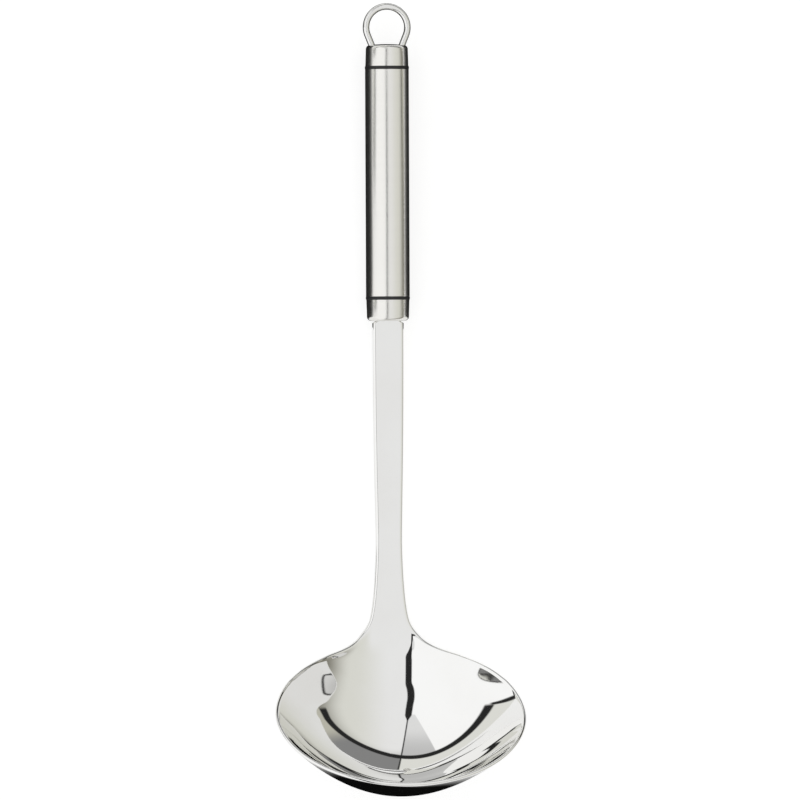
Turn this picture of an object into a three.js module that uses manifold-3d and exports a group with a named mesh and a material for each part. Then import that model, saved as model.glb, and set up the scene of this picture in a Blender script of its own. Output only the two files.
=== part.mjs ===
// Sauce ladle, lying on a table with the bowl's opening upwards.
// Millimetres. The handle runs along Y towards the hanging loop, X is across, Z is up.

import * as THREE from 'three';
import { LoftGeometry } from 'three/addons/geometries/LoftGeometry.js';
import { mergeVertices } from 'three/addons/utils/BufferGeometryUtils.js';
import Module from 'manifold-3d';

const wasm = await Module();
wasm.setup();

// Bowl, inside sizes at the rim
const BOWL_HALF_WIDTH = 44.8;
const BOWL_HALF_LENGTH = 29.41;
const BOWL_DEPTH = 27.6;
const BOWL_WALL = 1.3;
const BOWL_TILT = 56;
const BOWL_SINK = 2;
const LENGTHWISE_ARC = 87;
const CROSSWISE_ARC = 30;

// Neck between bowl and shaft
const NECK_REACH = 12.8;
const NECK_HALF_WIDTH = 7.7;
const NECK_TAPER = 0.38;
const NECK_FLAT = 6.5;
const NECK_CURL = 0.05;
const NECK_BEND = 0.6;
const NECK_EASE = 0.1;
const NECK_EASE_START = 15;
const FLARE_HALF_WIDTH = 25;
const FLARE_PULL = 0.31;
const SEAM_PULL = 0.89;

// Hollow that runs from the neck down into the bowl
const HOLLOW_START = 9.1;
const HOLLOW_SLOPE = 5.4;
const HOLLOW_EASE = 2.5;
const HOLLOW_BLEND = 8;
const HOLLOW_RUN = 20;
const HOLLOW_RADIUS = 37.5;
const HOLLOW_STEEPENING = 116;
const HOLLOW_CLOSE = 0.1;

// Shaft and tang
const SHAFT_LENGTH = 110.2;
const SHAFT_THICKNESS = 2.2;
const SHAFT_EDGE_ROUND = 1;
const SHAFT_TOP_WIDTH = 11.6;
const WAIST_WIDTH = 9.9;
const WAIST_STATION = 30;
const SHOULDER_WIDTH = 0.6;
const SHOULDER_DROP = 0.8;
const TANG_WIDTH = 8;
const TANG_LENGTH = 26;

// Handle tube and rings
const TUBE_DIAMETER = 16;
const TUBE_WALL = 0.8;
const TUBE_LENGTH = 83.2;
const RING_WIDTH = 1.1;
const RING_PROUD = 0.1;

// Ferrule and end cap
const CAP_LENGTH = 7.8;
const CAP_INSET = 0.12;
const CAP_TAPER = 0.18;
const CAP_FLOOR = 0.9;
const CAP_CORNER = 1.6;
const CAP_DOME = 0.3;

// Plugs and pin
const PLUG_RIB = 0.2;
const PLUG_RIB_WIDTH = 1.6;
const PLUG_RIB_PITCH = 6;
const LOWER_PLUG_RIBS = 3;
const UPPER_PLUG_RIBS = 3;
const PLUG_CHAMFER = 0.6;
const PIN_DIAMETER = 3;
const PIN_FROM_TANG_END = 7.1;
const PIN_RECESS = 0.8;

// Hanging loop
const WIRE_DIAMETER = 2.4;
const LOOP_RADIUS = 7.65;
const LOOP_STAND = 0.842;
const LEG_INSET = 2.05;
const LEG_DEPTH = 3.9;
const LEG_BEND = 1.4;
const SHANK_LENGTH = 7;

// Clearances
const TANG_CLEARANCE = 0.2;
const TANG_END_CLEARANCE = 1;
const WIRE_CLEARANCE = 0.3;

// How finely the curves are divided
const ROUND_SEGMENTS = 40;
const WIRE_SEGMENTS = 12;
const WIRE_STEPS = 50;
const RIM_SEGMENTS = 24;
const FLARE_SEGMENTS = 12;
const SEAM_SEGMENTS = 3;
const BOWL_RINGS = 14;

// Stations along the handle, measured from the seam between neck and shaft
const tubeRadius = TUBE_DIAMETER / 2;
const tubeBore = tubeRadius - TUBE_WALL;
const plugRadius = tubeBore - PLUG_RIB;
const ringRadius = tubeRadius + RING_PROUD;
const capOpenRadius = tubeRadius - CAP_INSET;
const capEndRadius = capOpenRadius - CAP_TAPER;
const ferruleStart = SHAFT_LENGTH;
const lowerRingStart = ferruleStart + CAP_LENGTH;
const tubeStart = lowerRingStart + RING_WIDTH;
const tubeEnd = tubeStart + TUBE_LENGTH;
const capStart = tubeEnd + RING_WIDTH;
const capTop = capStart + CAP_LENGTH;
const tangEnd = ferruleStart + TANG_LENGTH;
const pinStation = tangEnd - PIN_FROM_TANG_END;

// The bowl leans. Each upright section through its middle is an elliptic arc, flatter across than lengthwise
const tilt = THREE.MathUtils.degToRad(BOWL_TILT);
const lengthwiseCos = Math.cos(THREE.MathUtils.degToRad(LENGTHWISE_ARC));
const crosswiseCos = Math.cos(THREE.MathUtils.degToRad(CROSSWISE_ARC));
const arcHalfLength = BOWL_HALF_LENGTH / Math.sqrt(1 - lengthwiseCos ** 2);
const arcDepth = BOWL_DEPTH / (1 - lengthwiseCos);

// The bowl's bottom lies a little lower than the shaft's upper face
const arcReach = Math.hypot(arcHalfLength * Math.cos(tilt), arcDepth * Math.sin(tilt));
const shaftDrop = arcReach - arcDepth * lengthwiseCos * Math.sin(tilt) - BOWL_SINK;
const rimCentreHeight = shaftDrop + SHAFT_THICKNESS / 2;
const seamReach = BOWL_HALF_LENGTH + NECK_REACH;
const rimCentreStation = (shaftDrop * Math.cos(tilt) - seamReach) / Math.sin(tilt);

// The ladle lies on the bowl's back and the lower ring
const bowlBack = SHAFT_THICKNESS / 2 - BOWL_SINK - BOWL_WALL;
const restLean = Math.atan2(bowlBack + ringRadius, lowerRingStart - rimCentreStation);

// From the rim's own directions (across, back to the handle, out of the bowl) to the ladle's
const rimFrame = new THREE.Matrix4().makeBasis(
  new THREE.Vector3(1, 0, 0),
  new THREE.Vector3(0, Math.sin(tilt), -Math.cos(tilt)),
  new THREE.Vector3(0, Math.cos(tilt), Math.sin(tilt)),
);
rimFrame.setPosition(0, rimCentreStation, rimCentreHeight);
const ladleToRim = rimFrame.clone().invert();

function solid(geometry) {
  geometry.deleteAttribute('normal');
  geometry.deleteAttribute('uv');
  const welded = mergeVertices(geometry, 1e-4);
  const triangles = [];
  for (let first = 0; first < welded.index.count; first += 3) {
    const [a, b, c] = [0, 1, 2].map((corner) => welded.index.getX(first + corner));
    if (a !== b && b !== c && c !== a) triangles.push(a, b, c);
  }
  const mesh = new wasm.Mesh({
    numProp: 3,
    vertProperties: welded.attributes.position.array,
    triVerts: new Uint32Array(triangles),
  });
  return new wasm.Manifold(mesh);
}

function geometryOf(body) {
  const mesh = body.getMesh();
  const geometry = new THREE.BufferGeometry();
  geometry.setAttribute('position', new THREE.BufferAttribute(mesh.vertProperties, 3));
  geometry.setIndex(new THREE.BufferAttribute(mesh.triVerts, 1));
  geometry.computeVertexNormals();
  return geometry;
}

// A body of revolution about the handle's axis, from points of radius and station
function turned(profile) {
  const points = profile.map(([radius, station]) => new THREE.Vector2(radius, station));
  return new THREE.LatheGeometry(points, ROUND_SEGMENTS);
}

function roundedCorner(centreRadius, centreStation, radius, from, to) {
  const corner = new THREE.EllipseCurve(centreRadius, centreStation, radius, radius, from, to, from > to);
  return corner.getPoints(5).map((point) => [point.x, point.y]);
}

// Nothing before the start, then as far as has been run, with a soft start
function eased(distance, ease) {
  if (distance > ease) return distance;
  return Math.max(distance + ease, 0) ** 2 / (4 * ease);
}

// Height over the shaft's plane, less the neck's curled sides and plus the hollow that leads into the bowl
function overNeck(across, back, out) {
  const { lerp, smoothstep, degToRad } = THREE.MathUtils;
  const into = -HOLLOW_START - rimCentreStation - back * Math.sin(tilt) - out * Math.cos(tilt);
  const hollow = smoothstep(into, -HOLLOW_BLEND / 2, HOLLOW_BLEND / 2);
  const aside = Math.max(Math.abs(across) - NECK_FLAT, 0);
  const ahead = Math.max(into - HOLLOW_RUN, 0);
  const steeper = (across / HOLLOW_STEEPENING) ** 2;
  const hollowRise = (across ** 2 / (2 * HOLLOW_RADIUS)) * (1 + steeper);
  const hollowSlope = (Math.abs(across) / HOLLOW_RADIUS) * (1 + 2 * steeper);
  const sideRise = lerp(NECK_CURL * aside ** 2, hollowRise, hollow);
  const sideSlope = lerp(2 * NECK_CURL * aside, hollowSlope, hollow);
  const sunk = Math.tan(degToRad(HOLLOW_SLOPE)) * eased(into, HOLLOW_EASE) - HOLLOW_CLOSE * ahead ** 2;
  const height = shaftDrop - back * Math.cos(tilt) + out * Math.sin(tilt);
  return (height + sunk - sideRise) / Math.hypot(1, sideSlope, 2 * HOLLOW_CLOSE * ahead);
}

// Room above the metal, in the rim's directions: inside the bowl, or over the shaft and the neck
function roomAbove(across, back, out) {
  const shareAcross = across / BOWL_HALF_WIDTH;
  const shareBack = back / BOWL_HALF_LENGTH;
  const lengthwise = shareBack ** 2 / Math.max(shareAcross ** 2 + shareBack ** 2, 1e-9);
  const arcCos = THREE.MathUtils.lerp(crosswiseCos, lengthwiseCos, lengthwise);
  const arcSin = Math.sqrt(1 - arcCos ** 2);
  const below = Math.max(arcCos - ((1 - arcCos) * out) / BOWL_DEPTH, 0);
  const scaled = Math.hypot(shareAcross * arcSin, shareBack * arcSin, below);
  const growth = Math.hypot(
    (shareAcross * arcSin ** 2) / BOWL_HALF_WIDTH,
    (shareBack * arcSin ** 2) / BOWL_HALF_LENGTH,
    (below * (1 - arcCos)) / BOWL_DEPTH,
  );
  const inBowl = ((1 - scaled) * scaled) / Math.max(growth, 1e-6);
  const inNeck = overNeck(across, back, out);
  const bend = NECK_BEND + NECK_EASE * (Math.hypot(across, NECK_EASE_START) - NECK_EASE_START);
  const blend = Math.max(bend - Math.abs(inBowl - inNeck), 0);
  return Math.max(inBowl, inNeck) + blend ** 2 / (4 * bend);
}

// Point of the upper face on the line from the middle of the rim through the point aimed at
function upperFace(aim) {
  let near = 0;
  let far = 2;
  for (let halving = 0; halving < 40; halving += 1) {
    const middle = (near + far) / 2;
    if (roomAbove(aim.x * middle, aim.y * middle, aim.z * middle) > 0) near = middle;
    else far = middle;
  }
  return aim.clone().multiplyScalar(near);
}

function upwards({ x, y, z }) {
  const step = 0.01;
  return new THREE.Vector3(
    roomAbove(x + step, y, z) - roomAbove(x - step, y, z),
    roomAbove(x, y + step, z) - roomAbove(x, y - step, z),
    roomAbove(x, y, z + step) - roomAbove(x, y, z - step),
  ).normalize();
}

// The sheet is thinner where the bowl is drawn out and full at the shaft
function sheetAt(back) {
  const share = THREE.MathUtils.smoothstep(back, seamReach - 1.6 * NECK_REACH, seamReach - 2);
  return THREE.MathUtils.lerp(BOWL_WALL, SHAFT_THICKNESS, share);
}

// Point of the upper face straight below a point of the neck's plan
function neckFace(plan) {
  let high = rimCentreHeight;
  let low = -ringRadius;
  for (let halving = 0; halving < 40; halving += 1) {
    const middle = (high + low) / 2;
    const { x, y, z } = new THREE.Vector3(plan.x, plan.y, middle).applyMatrix4(ladleToRim);
    if (roomAbove(x, y, z) > 0) high = middle;
    else low = middle;
  }
  return new THREE.Vector3(plan.x, plan.y, high).applyMatrix4(ladleToRim);
}

// Point of the bowl's edge, which dips below the rim's plane where the neck's hollow runs through it
function rimEdge(point) {
  if (point.y < BOWL_HALF_LENGTH / 2) return new THREE.Vector3(point.x, point.y, 0);
  return neckFace(new THREE.Vector2(point.x, rimCentreStation + point.y * Math.sin(tilt)));
}

// Edge of the upper face in the rim's directions, once round from the bowl's front
function sheetOutline() {
  const flareAngle = Math.acos(FLARE_HALF_WIDTH / BOWL_HALF_WIDTH);
  const rim = new THREE.EllipseCurve(0, 0, BOWL_HALF_WIDTH, BOWL_HALF_LENGTH, -Math.PI / 2, flareAngle);
  const rimEnd = rim.getPoint(1);
  const rimCourse = rim.getTangent(1);
  const flareStart = new THREE.Vector2(rimEnd.x, rimCentreStation + rimEnd.y * Math.sin(tilt));
  const flareCourse = new THREE.Vector2(rimCourse.x, rimCourse.y * Math.sin(tilt));
  const flarePull = flareCourse.setLength(FLARE_PULL * NECK_REACH);
  const seamCorner = new THREE.Vector2(NECK_HALF_WIDTH - SHAFT_THICKNESS / 2, 0);
  const seamPull = new THREE.Vector2(NECK_TAPER, -1).setLength(SEAM_PULL * NECK_REACH);
  const flare = new THREE.CubicBezierCurve(
    flareStart,
    flareStart.clone().add(flarePull),
    seamCorner.clone().add(seamPull),
    seamCorner,
  );
  const seam = new THREE.LineCurve(seamCorner, new THREE.Vector2(0, 0));
  const neck = [...flare.getPoints(FLARE_SEGMENTS), ...seam.getPoints(SEAM_SEGMENTS).slice(1)];
  const right = [...rim.getPoints(RIM_SEGMENTS).slice(0, -1).map(rimEdge), ...neck.map(neckFace)];
  const left = right.slice(1, -1).reverse().map((point) => new THREE.Vector3(-point.x, point.y, point.z));
  return [...right, ...left];
}

// Bowl and neck: under face from the middle outwards, round the edge, and back over the upper face
function bowlAndNeck() {
  const outline = sheetOutline();
  const upper = [];
  for (let ring = 0; ring <= BOWL_RINGS; ring += 1) {
    const angle = (Math.PI * ring) / (2 * BOWL_RINGS);
    const bottom = new THREE.Vector3(0, 0, -BOWL_DEPTH * Math.cos(angle));
    upper.push(outline.map((edge) => upperFace(edge.clone().multiplyScalar(Math.sin(angle)).add(bottom))));
  }
  const under = upper
    .filter((ring, index) => index % 2 === 0)
    .map((ring) => ring.map((point) => point.clone().addScaledVector(upwards(point), -sheetAt(point.y))));
  const edgeUpper = upper[BOWL_RINGS];
  const roundEdge = [135, 90, 45].map((degrees) => {
    const angle = THREE.MathUtils.degToRad(degrees);
    return edgeUpper.map((point, index) => {
      const before = edgeUpper.at(index - 1);
      const after = edgeUpper[(index + 1) % edgeUpper.length];
      const up = upwards(point);
      const outwards = after.clone().sub(before).cross(up).normalize();
      const half = sheetAt(point.y) / 2;
      return point
        .clone()
        .addScaledVector(up, half * (Math.cos(angle) - 1))
        .addScaledVector(outwards, half * Math.sin(angle));
    });
  });
  const sections = [...under, ...roundEdge, ...upper.reverse()];
  return new THREE.BufferGeometry().copy(new LoftGeometry(sections)).applyMatrix4(rimFrame);
}

// Flat plate of the shaft's thickness, centred on the handle's axis, with rounded edges
function plate(shape) {
  const edgeRound = Math.min(SHAFT_EDGE_ROUND, 0.46 * SHAFT_THICKNESS);
  const geometry = new THREE.ExtrudeGeometry(shape, {
    depth: SHAFT_THICKNESS - 2 * edgeRound,
    bevelThickness: edgeRound,
    bevelSize: edgeRound,
    bevelOffset: -edgeRound,
    bevelSegments: 3,
  });
  return geometry.translate(0, 0, edgeRound - SHAFT_THICKNESS / 2);
}

function shaftAndTang() {
  const waist = WAIST_WIDTH / 2;
  const top = SHAFT_TOP_WIDTH / 2;
  const tang = TANG_WIDTH / 2;
  const shoulder = ferruleStart - SHOULDER_DROP;
  const right = new THREE.Path();
  right.moveTo(NECK_HALF_WIDTH, -SHAFT_THICKNESS);
  right.lineTo(NECK_HALF_WIDTH, 0);
  const neckPull = 0.2 * WAIST_STATION;
  right.bezierCurveTo(
    NECK_HALF_WIDTH - NECK_TAPER * neckPull,
    neckPull,
    waist,
    WAIST_STATION - 0.13 * WAIST_STATION,
    waist,
    WAIST_STATION,
  );
  right.bezierCurveTo(waist, 1.33 * WAIST_STATION, top, 2 * WAIST_STATION, top, shoulder);
  right.lineTo(tang + SHOULDER_WIDTH, ferruleStart);
  right.lineTo(tang, ferruleStart);
  right.lineTo(tang, tangEnd - tang / 2);
  right.lineTo(tang / 2, tangEnd);
  const rightEdge = right.getPoints(12);
  const leftEdge = rightEdge.map((point) => new THREE.Vector2(-point.x, point.y)).reverse();
  return plate(new THREE.Shape([...rightEdge, ...leftEdge]));
}

// Cutter for the tang's slot between two stations
function tangSlot(from, to) {
  const halfWidth = TANG_WIDTH / 2 + TANG_CLEARANCE;
  const halfThickness = SHAFT_THICKNESS / 2 + TANG_CLEARANCE;
  const slot = new THREE.BoxGeometry(2 * halfWidth, to - from, 2 * halfThickness);
  return solid(slot.translate(0, (from + to) / 2, 0));
}

function crossPin(radius, length) {
  const pin = new THREE.CylinderGeometry(radius, radius, length, 24);
  return pin.rotateX(Math.PI / 2).translate(0, pinStation, 0);
}

function ferrule() {
  const cap = turned([
    [0, ferruleStart],
    ...roundedCorner(capEndRadius - CAP_CORNER, ferruleStart + CAP_CORNER, CAP_CORNER, -Math.PI / 2, 0),
    [capOpenRadius, lowerRingStart],
    [plugRadius, lowerRingStart],
    [plugRadius, ferruleStart + CAP_FLOOR],
    [0, ferruleStart + CAP_FLOOR],
  ]);
  const slot = tangSlot(ferruleStart - CAP_FLOOR, ferruleStart + 2 * CAP_FLOOR);
  return geometryOf(solid(cap).subtract(slot));
}

function sealRing(start) {
  const bulge = [0, 0.5, 1].map((share) => [
    tubeRadius + RING_PROUD * Math.sin(Math.PI * share),
    start + RING_WIDTH * share,
  ]);
  return turned([[plugRadius, start], ...bulge, [plugRadius, start + RING_WIDTH], [plugRadius, start]]);
}

function tube() {
  return turned([
    [tubeBore, tubeStart],
    [tubeRadius, tubeStart],
    [tubeRadius, tubeEnd],
    [tubeBore, tubeEnd],
    [tubeBore, tubeStart],
  ]);
}

// Moulded plug with ribs that grip the tube, from one station to another
function plug(from, to, firstRib, ribs) {
  const profile = [[0, from], [plugRadius - PLUG_CHAMFER, from], [plugRadius, from + PLUG_CHAMFER]];
  for (let rib = 0; rib < ribs; rib += 1) {
    const start = firstRib + rib * PLUG_RIB_PITCH;
    profile.push([plugRadius, start]);
    profile.push([tubeBore, start + PLUG_RIB_WIDTH / 4]);
    profile.push([tubeBore, start + (3 * PLUG_RIB_WIDTH) / 4]);
    profile.push([plugRadius, start + PLUG_RIB_WIDTH]);
  }
  profile.push([plugRadius, to - PLUG_CHAMFER], [plugRadius - PLUG_CHAMFER, to], [0, to]);
  return solid(turned(profile));
}

function lowerPlug() {
  const floor = ferruleStart + CAP_FLOOR;
  const slotEnd = tangEnd + TANG_END_CLEARANCE;
  const end = Math.max(slotEnd, tubeStart + LOWER_PLUG_RIBS * PLUG_RIB_PITCH) + PLUG_RIB_WIDTH;
  const body = plug(floor, end, tubeStart + PLUG_RIB_WIDTH, LOWER_PLUG_RIBS);
  const pinHole = solid(crossPin(PIN_DIAMETER / 2, TUBE_DIAMETER));
  return geometryOf(body.subtract(tangSlot(floor - CAP_FLOOR, slotEnd)).subtract(pinHole));
}

// Hanging loop: a round eye, two legs that lean in to the cap, and two shanks inside the upper plug
const legEntry = capEndRadius - LEG_INSET;
const eyeHeight = LOOP_RADIUS * LOOP_STAND;
const eyeDistance = Math.hypot(legEntry, eyeHeight);
const legAngle = Math.acos(LOOP_RADIUS / eyeDistance) - Math.atan2(eyeHeight, legEntry);
const legLean = Math.tan(-legAngle);
const shankOffset = legEntry - legLean * LEG_DEPTH;
const bendStation = capTop - LEG_DEPTH;
const shankEnd = bendStation - LEG_BEND - SHANK_LENGTH;

class WirePath extends THREE.Curve {
  constructor(flat) {
    super();
    this.flat = flat;
  }

  getPoint(share, target = new THREE.Vector3()) {
    const { x, y } = this.flat.getPoint(share);
    return target.set(x, y, 0);
  }
}

function wire(radius) {
  const bendOut = shankOffset + LEG_BEND * legLean;
  const flat = new THREE.Path();
  flat.moveTo(shankOffset, shankEnd);
  flat.lineTo(shankOffset, bendStation - LEG_BEND);
  flat.quadraticCurveTo(shankOffset, bendStation, bendOut, bendStation + LEG_BEND);
  flat.absarc(0, capTop + eyeHeight, LOOP_RADIUS, legAngle, Math.PI - legAngle, false);
  flat.lineTo(-bendOut, bendStation + LEG_BEND);
  flat.quadraticCurveTo(-shankOffset, bendStation, -shankOffset, bendStation - LEG_BEND);
  flat.lineTo(-shankOffset, shankEnd);
  const section = new THREE.Shape().absarc(0, 0, radius, 0, 2 * Math.PI, false);
  return new THREE.ExtrudeGeometry(section, {
    steps: WIRE_STEPS,
    curveSegments: WIRE_SEGMENTS / 2,
    extrudePath: new WirePath(flat),
  });
}

// Cutter for the holes that the wire runs through
function wireHoles() {
  return solid(wire(WIRE_DIAMETER / 2 + WIRE_CLEARANCE));
}

function endCap() {
  const shell = turned([
    [0, capTop - CAP_FLOOR],
    [plugRadius, capTop - CAP_FLOOR],
    [plugRadius, capStart],
    [capOpenRadius, capStart],
    ...roundedCorner(capEndRadius - CAP_CORNER, capTop - CAP_CORNER, CAP_CORNER, 0, Math.PI / 2),
    [capEndRadius / 2, capTop + 0.75 * CAP_DOME],
    [0, capTop + CAP_DOME],
  ]);
  return geometryOf(solid(shell).subtract(wireHoles()));
}

function upperPlug() {
  const start = tubeEnd - UPPER_PLUG_RIBS * PLUG_RIB_PITCH;
  const body = plug(start, capTop - CAP_FLOOR, start + 2 * PLUG_CHAMFER, UPPER_PLUG_RIBS);
  return geometryOf(body.subtract(wireHoles()));
}

function bowlAndShaft() {
  const pinHole = solid(crossPin(PIN_DIAMETER / 2 + TANG_CLEARANCE, TUBE_DIAMETER));
  return geometryOf(solid(bowlAndNeck()).add(solid(shaftAndTang())).subtract(pinHole));
}

const pieces = [
  ['bowl_and_shaft', bowlAndShaft(), 0xd4d4d1, 0.06, 1],
  ['lower_ferrule', ferrule(), 0xc9c7c0, 0.3, 1],
  ['lower_seal_ring', sealRing(lowerRingStart), 0x161616, 0.6, 0],
  ['lower_plug', lowerPlug(), 0x2a2a2c, 0.5, 0],
  ['tang_pin', crossPin(PIN_DIAMETER / 2, 2 * (plugRadius - PIN_RECESS)), 0xb4b6b8, 0.3, 1],
  ['handle_tube', tube(), 0xc9c7c0, 0.3, 1],
  ['upper_seal_ring', sealRing(tubeEnd), 0x161616, 0.6, 0],
  ['upper_plug', upperPlug(), 0x2a2a2c, 0.5, 0],
  ['end_cap', endCap(), 0xc9c7c0, 0.3, 1],
  ['hanging_loop', wire(WIRE_DIAMETER / 2), 0xd4d4d1, 0.1, 1],
];

const ladle = new THREE.Group();
ladle.name = 'sauce_ladle';
for (const [name, geometry, color, roughness, metalness] of pieces) {
  geometry.rotateX(restLean);
  const mesh = new THREE.Mesh(geometry, new THREE.MeshStandardMaterial({ color, roughness, metalness }));
  mesh.name = name;
  ladle.add(mesh);
}

// The origin sits on the table under the middle of the ladle's length
const box = new THREE.Box3().setFromObject(ladle);
const middle = box.getCenter(new THREE.Vector3());
for (const mesh of ladle.children) mesh.position.set(0, -middle.y, -box.min.z);

export default ladle;
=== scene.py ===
"""Sauce ladle: polished bowl and shaft, satin tube handle, black rings and a wire hanging loop."""

import math

import bmesh
import bpy
import numpy as np
from mathutils import Matrix, Vector


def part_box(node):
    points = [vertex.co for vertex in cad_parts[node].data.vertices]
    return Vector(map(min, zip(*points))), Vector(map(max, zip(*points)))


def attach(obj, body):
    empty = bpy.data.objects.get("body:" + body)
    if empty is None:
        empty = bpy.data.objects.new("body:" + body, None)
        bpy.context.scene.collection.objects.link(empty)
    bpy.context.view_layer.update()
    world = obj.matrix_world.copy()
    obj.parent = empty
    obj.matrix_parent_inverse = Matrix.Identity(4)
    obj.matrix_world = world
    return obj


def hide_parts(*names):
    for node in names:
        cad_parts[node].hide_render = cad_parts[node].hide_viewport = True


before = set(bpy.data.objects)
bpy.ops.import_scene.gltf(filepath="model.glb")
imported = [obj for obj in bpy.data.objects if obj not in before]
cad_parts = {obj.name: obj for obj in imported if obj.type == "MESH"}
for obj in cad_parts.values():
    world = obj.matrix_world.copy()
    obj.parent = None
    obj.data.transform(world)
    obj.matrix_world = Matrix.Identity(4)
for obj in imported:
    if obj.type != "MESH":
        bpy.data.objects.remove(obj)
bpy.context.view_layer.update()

MM = 0.001

# Bowl, inside sizes at the rim
BOWL_HALF_WIDTH = 44.8
BOWL_HALF_LENGTH = 29.41
BOWL_DEPTH = 27.6
BOWL_WALL = 1.3
BOWL_TILT = math.radians(56)
BOWL_SINK = 2
LENGTHWISE_COS = math.cos(math.radians(87))
CROSSWISE_COS = math.cos(math.radians(30))

# Neck between bowl and shaft
NECK_REACH = 12.8
NECK_HALF_WIDTH = 7.7
NECK_TAPER = 0.38
NECK_FLAT = 6.5
NECK_CURL = 0.05
NECK_BEND = 0.6
NECK_EASE = 0.1
NECK_EASE_START = 15
FLARE_HALF_WIDTH = 25
FLARE_PULL = 0.31
SEAM_PULL = 0.89

# The sheet thickens between these distances before the seam
THICKEN_START = 1.6 * NECK_REACH
THICKEN_END = 2

# Hollow that runs from the neck down into the bowl
HOLLOW_START = 9.1
HOLLOW_SLOPE = math.tan(math.radians(5.4))
HOLLOW_EASE = 2.5
HOLLOW_BLEND = 8
HOLLOW_RUN = 20
HOLLOW_RADIUS = 37.5
HOLLOW_STEEPENING = 116
HOLLOW_CLOSE = 0.1

# Shaft and tang
SHAFT_LENGTH = 110.2
SHAFT_THICKNESS = 2.2
SHAFT_TOP_WIDTH = 11.6
WAIST_WIDTH = 9.9
WAIST_STATION = 30
SHOULDER_WIDTH = 0.6
SHOULDER_DROP = 0.8
TANG_WIDTH = 8
TANG_LENGTH = 26

# Pulls of the shaft's side curves, as shares of the waist's station
NECK_SIDE_PULL = 0.2
BELOW_WAIST_PULL = 0.87
ABOVE_WAIST_PULL = 1.33
TOP_SIDE_PULL = 2

# Handle
TUBE_RADIUS = 8
TUBE_BORE = 7.2
TUBE_LENGTH = 83.2
BRIM = 0.12
PLUG_RADIUS = 7
RING_WIDTH = 1.1
RING_PROUD = 0.1
CAP_LENGTH = 7.8
CAP_OPEN_RADIUS = 7.88
CAP_END_RADIUS = 7.7
CAP_FLOOR = 0.9
CAP_CORNER = 1.6
CAP_DOME = 0.3

# Hanging loop
WIRE_DIAMETER = 2.4
LOOP_RADIUS = 7.65
LOOP_STAND = 0.842
LEG_INSET = 2.05
LEG_DEPTH = 3.9
LEG_BEND = 1.4
SHANK_LENGTH = 7

# How finely the curves are divided
RIM_STEPS = 110
FLARE_STEPS = 44
SEAM_STEPS = 10
BOWL_RINGS = 60
EDGE_STEPS = 8
SQUARING_STEPS = 10
LOWER_SIDE_POINTS = 40
UPPER_SIDE_POINTS = 60
TURNED_SEGMENTS = 144
BRIM_POINTS = 5
CORNER_POINTS = 14
RING_POINTS = 9
DOME_POINTS = 6
BEND_POINTS = 9
EYE_POINTS = 73
WIRE_SIDES = 32
HALVINGS = 44

# Metres within which points are welded and edges count as collapsed
WELD_DISTANCE = 2e-6
COLLAPSED_EDGE = 1e-7

# Millimetres off the axis at which a turned profile ends, and radius of the path it is swept along
NEAR_AXIS = 0.001
SWEEP_RADIUS = 1

# Stations along the handle, from the seam between neck and shaft
FERRULE_START = SHAFT_LENGTH
LOWER_RING = FERRULE_START + CAP_LENGTH
TUBE_START = LOWER_RING + RING_WIDTH
TUBE_END = TUBE_START + TUBE_LENGTH
CAP_START = TUBE_END + RING_WIDTH
CAP_TOP = CAP_START + CAP_LENGTH

# The bowl's bottom lies a little lower than the shaft's upper face
ARC_DEPTH = BOWL_DEPTH / (1 - LENGTHWISE_COS)
ARC_HALF_LENGTH = BOWL_HALF_LENGTH / math.sqrt(1 - LENGTHWISE_COS ** 2)
ARC_REACH = math.hypot(ARC_HALF_LENGTH * math.cos(BOWL_TILT), ARC_DEPTH * math.sin(BOWL_TILT))
SHAFT_DROP = ARC_REACH - ARC_DEPTH * LENGTHWISE_COS * math.sin(BOWL_TILT) - BOWL_SINK
RIM_HEIGHT = SHAFT_DROP + SHAFT_THICKNESS / 2
SEAM_REACH = BOWL_HALF_LENGTH + NECK_REACH
RIM_STATION = (SHAFT_DROP * math.cos(BOWL_TILT) - SEAM_REACH) / math.sin(BOWL_TILT)

# Across, back to the handle and out of the bowl, as rows of the ladle's own directions
RIM_AXES = np.array([
    [1, 0, 0],
    [0, math.sin(BOWL_TILT), -math.cos(BOWL_TILT)],
    [0, math.cos(BOWL_TILT), math.sin(BOWL_TILT)],
])
RIM_CENTRE = np.array([0, RIM_STATION, RIM_HEIGHT])

# The ladle lies on the bowl's back and the lower ring
BOWL_BACK = SHAFT_THICKNESS / 2 - BOWL_SINK - BOWL_WALL
REST_LEAN = math.atan2(BOWL_BACK + TUBE_RADIUS + RING_PROUD, LOWER_RING - RIM_STATION)

# Across, along the handle and up from the shaft's face, as rows of the frame's directions
LADLE_AXES = np.array([
    [1, 0, 0],
    [0, math.cos(REST_LEAN), math.sin(REST_LEAN)],
    [0, -math.sin(REST_LEAN), math.cos(REST_LEAN)],
])
tube_low, tube_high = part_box("handle_tube")
SEAM_POINT = np.array((tube_low + tube_high) / 2) - LADLE_AXES[1] * (TUBE_START + TUBE_LENGTH / 2) * MM


def placed(points):
    """Points of the ladle in millimetres, from the seam and the handle's axis, in the frame's metres."""
    return np.asarray(points, float) * MM @ LADLE_AXES + SEAM_POINT


# Shader nodes

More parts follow.
